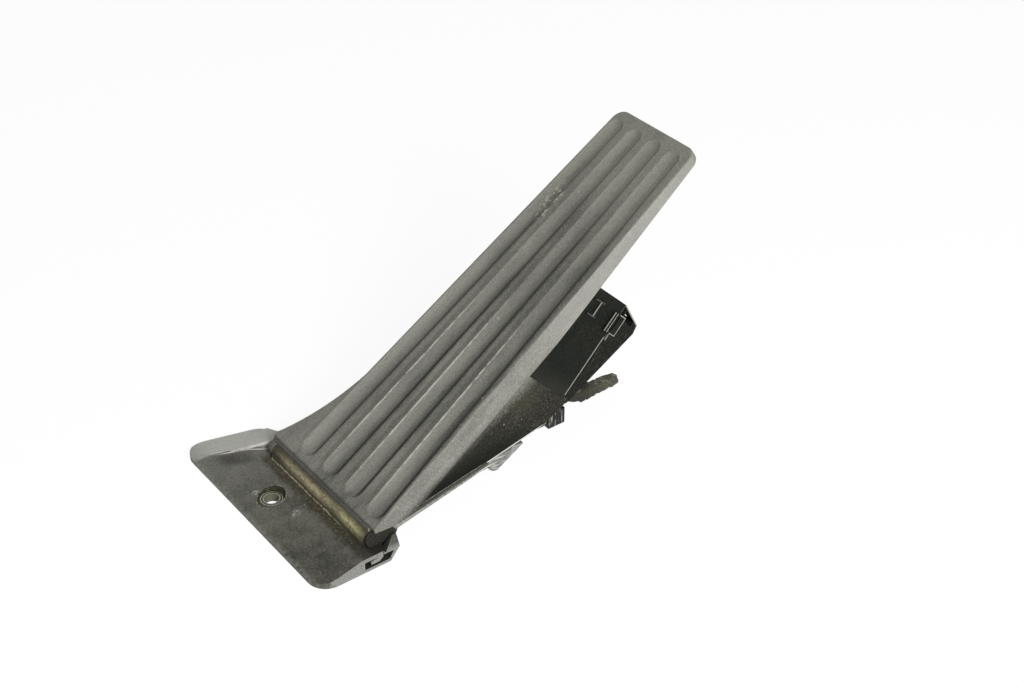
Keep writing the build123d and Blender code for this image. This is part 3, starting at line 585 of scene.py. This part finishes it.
# The whole: face and sides, the cheek at the heel, the underside, and the pebble grain over all
cheek = times(fade(s, 11.6, 10.8), within(x, 29.6, 31.8, 0.1), fade(t, 3.8, 3.2))
cheek_tone = coat(fade(pebble, 0.35, 0.65), CHEEK_BLACK, CHEEK_DARK)
underside = times(fade(out_up, -0.1, -0.5), fade(t, 3.2, 2.6))
pale_pebble = times(fade(pebble, 0.48, 0.70), 0.26)
colour = layered(
    coat(fade(out_up, 0.35, 0.75), side, face),
    (cheek, 1.0, cheek_tone),
    (underside, 1.0, UNDERSIDE_BLACK),
    (fade(pebble, 0.52, 0.30), 0.42, PEBBLE_DARK),
    (times(pale_pebble, fade(out_up, -0.2, 0.5)), 1.0, PEBBLE_PALE),
)
bare = times(fade(t, -6.0, -10.0), fade(out_up, 0.5, 0.2))
fill(shader, {
    "Base Color": colour,
    "Roughness": ramp(patches, 0.55, 0.75),
    "Specular IOR Level": ramp(bare, 0.10, 0.03),
})
roughen(shader, pebble, 0.14)
dress("pedal_plate", treadle_grey)


# Slide pad: ivory low-friction plate, moulded smooth and clipped on the seat under the treadle.
# The lever's nose has polished a darker track along its middle.
PAD_IVORY = (0.66, 0.63, 0.54)
PAD_TRACK = (0.30, 0.29, 0.26)
pad_ivory, tree, shader = new_finish("pad_ivory")
mm = millimetres(tree, TREADLE_AT, TREADLE_TILT)
track = times(within(axes_of(mm)[1], 57.0, 69.0, 2.0), grain(mm, 0.8, 4.0, (1, 0.2, 1)))
fill(shader, {"Base Color": coat(track, PAD_IVORY, PAD_TRACK), "Roughness": ramp(track, 0.42, 0.2)})
dress("slide_pad", pad_ivory)


# Sensor lever with its spring cup, and the fixed spring seat: glass-filled black mouldings.
# Swirls of glass fibre show faintly in the surface.
LEVER_DARK = (0.032, 0.032, 0.033)
LEVER_FIBRE = (0.085, 0.085, 0.086)
lever_black, tree, shader = new_finish("lever_black")
mm = millimetres(tree)
swirl = grain(mm, 0.22, 6.0, (1.0, 0.4, 1.0))
fill(shader, {"Base Color": coat(swirl, LEVER_DARK, LEVER_FIBRE), "Roughness": ramp(swirl, 0.4, 0.6)})
roughen(shader, grain(mm, 2.4), 0.04)
for piece in ("rotor_lever", "spring_cup", "spring_seat"):
    dress(piece, lever_black)


# Lever bushes and connector contacts: brass, the bushes turned and pressed in the lever's hub,
# the contacts stamped and moulded into the lid. Both are slightly tarnished.
BRASS_BRIGHT = (0.78, 0.58, 0.26)
BRASS_TARNISH = (0.36, 0.25, 0.10)
brass, tree, shader = new_finish("brass")
mm = millimetres(tree)
tarnish = fade(grain(mm, 0.5, 5.0), 0.42, 0.7)
fill(shader, {
    "Base Color": coat(tarnish, BRASS_BRIGHT, BRASS_TARNISH),
    "Roughness": ramp(tarnish, 0.22, 0.5),
    "Metallic": 1.0,
})
for piece in ("lever_bushes", "connector_pins"):
    dress(piece, brass)


# Axle clip and floor clip: stamped spring steel, one snapped on the axle, one pushed on the base's foot.
# They are blackened, with paler streaks where the stamping has rubbed.
CLIP_BLACK = (0.006, 0.006, 0.005)
CLIP_STREAK = (0.16, 0.157, 0.145)
clip_steel, tree, shader = new_finish("clip_steel")
mm = millimetres(tree)
streaks = grain(mm, 0.9, 3.0, (0.2, 1.0, 0.12))
fill(shader, {
    "Base Color": coat(fade(streaks, 0.52, 0.62), CLIP_BLACK, CLIP_STREAK),
    "Roughness": ramp(streaks, 0.3, 0.5),
    "Specular IOR Level": 0.2,
})
for piece in ("axle_clip", "floor_clip"):
    dress(piece, clip_steel)


# Magnet: sintered ferrite block, bonded in the lever's tail beside the sensor chips.
# It is dull dark grey and finely pitted from sintering.
FERRITE_DARK = (0.070, 0.070, 0.076)
FERRITE_PALE = (0.150, 0.150, 0.156)
ferrite, tree, shader = new_finish("ferrite")
pits = grain(millimetres(tree), 2.0, 5.0)
fill(shader, {"Base Color": coat(pits, FERRITE_DARK, FERRITE_PALE), "Roughness": 0.7})
roughen(shader, pits, 0.06)
dress("magnet", ferrite)


# Return springs: two round wire coils, one inside the other, between the fixed seat and the lever's cup.
# They are oiled dark; in use they shorten as the lever comes down, but each coil here is built at one
# length on the base.
SPRING_AT = Vector((0.015, 0.1145, 0.0))
SPRING_FOOT = 0.0135
SPRING_TOP = 0.0299
WIRE_SIDES = 10
STEPS_A_TURN = 28
WIRE_DARK = (0.20, 0.20, 0.21)
WIRE_BRIGHT = (0.48, 0.47, 0.46)
spring_steel, tree, shader = new_finish("spring_steel")
scale = grain(millimetres(tree), 1.2, 4.0)
fill(shader, {
    "Base Color": coat(scale, WIRE_DARK, WIRE_BRIGHT),
    "Roughness": ramp(scale, 0.24, 0.46),
    "Metallic": 1.0,
})


def new_piece(name, bm, material):
    """An object in the scene from a finished bmesh, smooth and with one material."""
    bmesh.ops.recalc_face_normals(bm, faces=bm.faces)
    for one in bm.faces:
        one.smooth = True
    mesh = bpy.data.meshes.new(name)
    bm.to_mesh(mesh)
    bm.free()
    mesh.materials.append(material)
    obj = bpy.data.objects.new(name, mesh)
    bpy.context.scene.collection.objects.link(obj)
    return obj


def coil(name, node, radius, wire, turns):
    """A round wire circle spun up into a spring."""
    bm = bmesh.new()
    start = Matrix.Translation(SPRING_AT + Vector((radius, 0, SPRING_FOOT + wire / 2)))
    upright = Matrix.Rotation(pi / 2, 4, "X")
    bmesh.ops.create_circle(bm, cap_ends=True, segments=WIRE_SIDES, radius=wire / 2, matrix=start @ upright)
    steps = int(turns * STEPS_A_TURN)
    rise = (SPRING_TOP - SPRING_FOOT - wire) / steps
    bmesh.ops.spin(
        bm, geom=bm.faces[:], cent=SPRING_AT, axis=(0, 0, 1),
        dvec=(0, 0, rise), angle=turns * 2 * pi, steps=steps,
    )
    obj = new_piece(name, bm, spring_steel)
    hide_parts(node)
    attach(obj, "base")
    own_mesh(obj)


coil("outer_coil", "outer_spring", radius=0.0057, wire=0.0015, turns=4.5)
coil("inner_coil", "inner_spring", radius=0.0034, wire=0.0010, turns=6.5)


# Circuit board: green glass-fibre board that lies on the box's parting plane.
# Paler copper tracks show through its lacquer.
BOARD_GREEN = (0.020, 0.120, 0.055)
TRACK_GREEN = (0.050, 0.220, 0.105)
board_green, tree, shader = new_finish("board_green")
mm = millimetres(tree, BOX_AT, BOX_TILT)
tracks = put(tree, "TexBrick", {"Vector": mm, "Scale": 0.35, "Mortar Size": 0.03}).outputs["Fac"]
fill(shader, {"Base Color": coat(tracks, BOARD_GREEN, TRACK_GREEN), "Roughness": 0.35})
dress("circuit_board", board_green)


# Sensor chips: two black moulded packages soldered on the board, beside the magnet's path.
# Their surface has the fine texture of a spark-eroded mould.
CHIP_BLACK = (0.018, 0.018, 0.018)
CHIP_GREY = (0.045, 0.045, 0.045)
chip_black, tree, shader = new_finish("chip_black")
texture = grain(millimetres(tree), 3.0, 2.0)
fill(shader, {"Base Color": coat(texture, CHIP_BLACK, CHIP_GREY), "Roughness": 0.7})
dress("sensor_chips", chip_black)


# Board screws: two zinc plated steel screws that hold the board down.
# The plating has a faint yellow tinge in patches.
ZINC_GREY = (0.58, 0.57, 0.54)
ZINC_YELLOW = (0.66, 0.61, 0.46)
screw_zinc, tree, shader = new_finish("screw_zinc")
tinge = grain(millimetres(tree), 0.6)
fill(shader, {"Base Color": coat(tinge, ZINC_GREY, ZINC_YELLOW), "Metallic": 1.0, "Roughness": 0.32})
dress("board_screws", screw_zinc)


# Cover seal: dark rubber gasket that is squeezed between box and lid.
# Only its edge shows, dull and unevenly dusty.
SEAL_BLACK = (0.012, 0.012, 0.011)
SEAL_DUST = (0.045, 0.045, 0.040)
seal_dark, tree, shader = new_finish("seal_dark")
uneven = grain(millimetres(tree), 0.4, 4.0)
fill(shader, {"Base Color": coat(uneven, SEAL_BLACK, SEAL_DUST), "Roughness": 0.6})
dress("cover_seal", seal_dark)


# Housing cover: satin black moulded lid snapped over the box, with latches and the connector's shroud.
# It has the box's speckle, fine scratches from handling, a few crumbs, and painted highlights on its sharp
# edges.
COVER_END_SLANT = -0.352
SCRATCH_PALE = (0.055, 0.054, 0.048)
COVER_CRUMB = (0.18, 0.175, 0.15)
COVER_EDGE_HIGHLIGHT = (0.25, 0.25, 0.23)
cover_black, tree, shader = new_finish("cover_black")
mm = millimetres(tree, BOX_AT, BOX_TILT)
x, u, v = axes_of(mm)
scratches = fade(grain(mm, 0.7, 5.0, (1.0, 0.2, 1.0)), 0.58, 0.68)
fine = grain(mm, 1.5)
grit = grain(mm, 0.8)
step_edge = times(within(v, -1.9, -1.4, 0.1), within(u, 37.4, 41.0, 0.2))
latch_bars = larger(within(v, 4.35, 4.8, 0.08), within(v, 2.45, 2.85, 0.08))
latch_foot = times(larger(within(u, 40.9, 41.4, 0.08), fade(u, 50.5, 50.7)), fade(v, 1.0, 0.6))
latch_edges = times(larger(latch_bars, fade(v, -3.1, -3.3), latch_foot), fade(x, 29.2, 29.4))
end_rim = times(fade(plus(u, v, COVER_END_SLANT), 55.6, 55.9), fade(v, -15.5, -14.5))
right_edge_highlights = times(larger(step_edge, latch_edges, end_rim), fade(x, 27.2, 27.6), fade(grit, 0.20, 0.40))
colour = layered(
    coat(fade(fine, 0.30, 0.70), BOX_BLACK, BOX_DARK),
    (fade(grit, 0.45, 0.66), 0.45, BOX_GRIT),
    (scratches, 0.35, SCRATCH_PALE),
    (fade(grain(mm, 1.0, 1.0), 0.76, 0.79), 1.0, COVER_CRUMB),
    (right_edge_highlights, 0.9, COVER_EDGE_HIGHLIGHT),
)
fill(shader, {"Base Color": colour, "Roughness": ramp(scratches, 0.4, 0.6), "Specular IOR Level": 0.05})
roughen(shader, fine, 0.08)
dress("housing_cover", cover_black)


# Full travel stop: black rubber button pressed in a hole in the top of the box.
# Its surface is matt and slightly pitted, where the treadle comes down on it.
RUBBER_BLACK = (0.020, 0.020, 0.020)
RUBBER_GREY = (0.060, 0.059, 0.056)
stop_rubber, tree, shader = new_finish("stop_rubber")
mm = millimetres(tree)
fill(shader, {"Base Color": coat(grain(mm, 0.8, 5.0), RUBBER_BLACK, RUBBER_GREY), "Roughness": 0.85})
roughen(shader, grain(mm, 1.8), 0.08)
dress("full_travel_stop", stop_rubber)


# Foam strip: open cell olive foam glued behind the foot and tucked up under it, torn at its free end.
# It is nearly black at its root and paler at the torn end, and paler in patches on its upward faces.
FOAM_CUTS = ((1, 44), (0, 5), (2, 5))
NEARLY_ALONG = 0.9
NEARLY_NOTHING = 1e-6
SECTION_POWER = 4
FOAM_GIRTH = 0.90
COARSE_LUMPS = 350.0
COARSE_DEPTH = 0.20
FINE_LUMPS = 900.0
FINE_DEPTH = 0.12
TUCK_ENDS = 0.018
TUCK_LENGTH = 0.010
TUCK_NARROWS = 0.1
TUCK_THINS = 0.55
TUCK_LIFTS = 0.48
TIP_NARROWS = 0.12
TIP_THINS = 0.36
TIP_LIFT = 0.0007
TEAR_WAVES = 700.0
TEAR_DEPTH = 0.0012
TEAR_ROUNDING = 0.0008
ROOT_BLACK = (0.006, 0.006, 0.003)
ROOT_OLIVE = (0.036, 0.034, 0.019)
TORN_DARK = (0.030, 0.030, 0.018)
TORN_PALE = (0.130, 0.127, 0.090)
CELL_BLACK = (0.004, 0.004, 0.002)
FOAM_TOP_PALE = (0.20, 0.20, 0.15)
foam_olive, tree, shader = new_finish("foam_olive")
mm = millimetres(tree)
cells = put(tree, "TexVoronoi", {"Vector": mm, "Scale": 1.3}).outputs["Distance"]
dust = grain(mm, 0.25, 5.0)
torn_end = fade(axes_of(mm)[1], 150.0, 176.0)
pale_top = times(fade(axes_of(own_normal(tree))[2], 0.55, 0.95), fade(dust, 0.45, 0.60))
colour = layered(
    coat(torn_end, coat(dust, ROOT_BLACK, ROOT_OLIVE), coat(dust, TORN_DARK, TORN_PALE)),
    (fade(cells, 0.46, 0.10), 1.0, CELL_BLACK),
    (pale_top, 0.5, FOAM_TOP_PALE),
)
fill(shader, {"Base Color": colour, "Roughness": 0.95})
roughen(shader, cells, 0.8)

low, high = (Vector(corner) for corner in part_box("foam_strip"))
middle = (low + high) / 2
size = high - low
bm = bmesh.new()
bmesh.ops.create_cube(bm, size=1.0, matrix=Matrix.Translation(middle) @ Matrix.Diagonal((*size, 1.0)))
# Cut along its length first, then across and through
for axis, cuts in FOAM_CUTS:
    ways = [(edge, (edge.verts[0].co - edge.verts[1].co).normalized()) for edge in bm.edges]
    runs = [edge for edge, way in ways if abs(way[axis]) > NEARLY_ALONG]
    bmesh.ops.subdivide_edges(bm, edges=runs, cuts=cuts, use_grid_fill=True)
for vert in bm.verts:
    # The place in the strip's section, from -1 to 1 each way, rounded off and made lumpy
    a = (vert.co.x - middle.x) / (size.x / 2)
    b = (vert.co.z - middle.z) / (size.z / 2)
    reach = (a ** SECTION_POWER + b ** SECTION_POWER) ** (1 / SECTION_POWER)
    rounding = max(abs(a), abs(b)) / max(reach, NEARLY_NOTHING)
    lump = 1.0 + COARSE_DEPTH * noise.noise(vert.co * COARSE_LUMPS)
    lump += FINE_DEPTH * noise.noise(vert.co * FINE_LUMPS)
    # Thinner towards the torn end, squeezed and lifted where it is tucked under the foot
    thinned = max(0.0, vert.co.y - middle.y) / (high.y - middle.y)
    tucked = min(1.0, max(0.0, low.y + TUCK_ENDS - vert.co.y) / TUCK_LENGTH)
    wide = FOAM_GIRTH - TIP_NARROWS * thinned - TUCK_NARROWS * tucked
    thick = FOAM_GIRTH - TUCK_THINS * tucked
    a = max(-1.0, min(1.0, a * rounding * lump * wide))
    b = max(-1.0, min(1.0, b * rounding * lump * thick + TUCK_LIFTS * tucked))
    vert.co.x = middle.x + a * size.x / 2
    vert.co.z = low.z + TIP_LIFT * thinned + (b + 1.0) * size.z / 2 * (1.0 - TIP_THINS * thinned)
    if vert.co.y > middle.y:
        torn = TEAR_DEPTH * noise.noise(vert.co * TEAR_WAVES) - TEAR_ROUNDING * (a * a + b * b)
        vert.co.y = min(vert.co.y + torn, high.y)
foam = new_piece("foam", bm, foam_olive)
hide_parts("foam_strip")
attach(foam, "base")


# Studio: a wide pale floor that looks white to the camera but keeps a faint shadow,
# a large soft lamp beside the camera on the right, and white surroundings.
FLOOR_HALF = 4.0
FLOOR_DROP = 0.0002
FLOOR_WHITENESS = 0.93
SURROUND_LIGHT = 0.34
WHITE = (1.0, 1.0, 1.0, 1.0)
bm = bmesh.new()
bmesh.ops.create_grid(
    bm, x_segments=1, y_segments=1, size=FLOOR_HALF, matrix=Matrix.Translation((0, 0, -FLOOR_DROP))
)
mesh = bpy.data.meshes.new("floor")
bm.to_mesh(mesh)
bm.free()
floor = bpy.data.objects.new("floor", mesh)
bpy.context.scene.collection.objects.link(floor)
floor_white, tree, shader = new_finish("floor_white")
fill(shader, {"Base Color": (0.9, 0.9, 0.9, 1.0), "Roughness": 0.9})
rays = put(tree, "LightPath", {}).outputs
seen = larger(rays["Is Camera Ray"], rays["Is Glossy Ray"], rays["Is Transmission Ray"])
glow = put(tree, "Emission", {0: WHITE, 1: 1.0})
blend = put(tree, "MixShader", {0: times(seen, FLOOR_WHITENESS), 1: shader.outputs[0], 2: glow.outputs[0]})
fill(tree.nodes["Material Output"], {"Surface": blend.outputs[0]})
mesh.materials.append(floor_white)

world = bpy.data.worlds.new("studio")
bpy.context.scene.world = world
world.use_nodes = True
rays = put(world.node_tree, "LightPath", {}).outputs
seen = larger(rays["Is Camera Ray"], rays["Is Transmission Ray"])
fill(world.node_tree.nodes["Background"], {"Color": WHITE, "Strength": ramp(seen, SURROUND_LIGHT, 1.0)})

LAMP_AT = Vector((1.10, -0.12, 0.78))
LAMP_AIM = Vector((0.02, 0.08, 0.05))
lamp = bpy.data.lights.new("key", "AREA")
lamp.size = 0.40
lamp.energy = 27.0
softbox = bpy.data.objects.new("key", lamp)
bpy.context.scene.collection.objects.link(softbox)
softbox.location = LAMP_AT
softbox.rotation_euler = (LAMP_AIM - LAMP_AT).to_track_quat("-Z", "Y").to_euler()

CAMERA_AT = (0.52526, -0.26611, 0.48763)
CAMERA_RIGHT = (0.60141, 0.79894, 0.0)
CAMERA_UP = (-0.45463, 0.34223, 0.82231)
CAMERA_BACK = (0.65698, -0.49455, 0.56904)
camera_data = bpy.data.cameras.new("camera")
camera_data.lens = 61.52
camera_data.sensor_width = 36.0
camera_data.clip_start = 0.01
camera = bpy.data.objects.new("camera", camera_data)
bpy.context.scene.collection.objects.link(camera)
turn = Matrix((CAMERA_RIGHT, CAMERA_UP, CAMERA_BACK)).transposed().to_4x4()
camera.matrix_world = Matrix.Translation(CAMERA_AT) @ turn
bpy.context.scene.camera = camera
bpy.context.scene.view_settings.view_transform = "Standard"
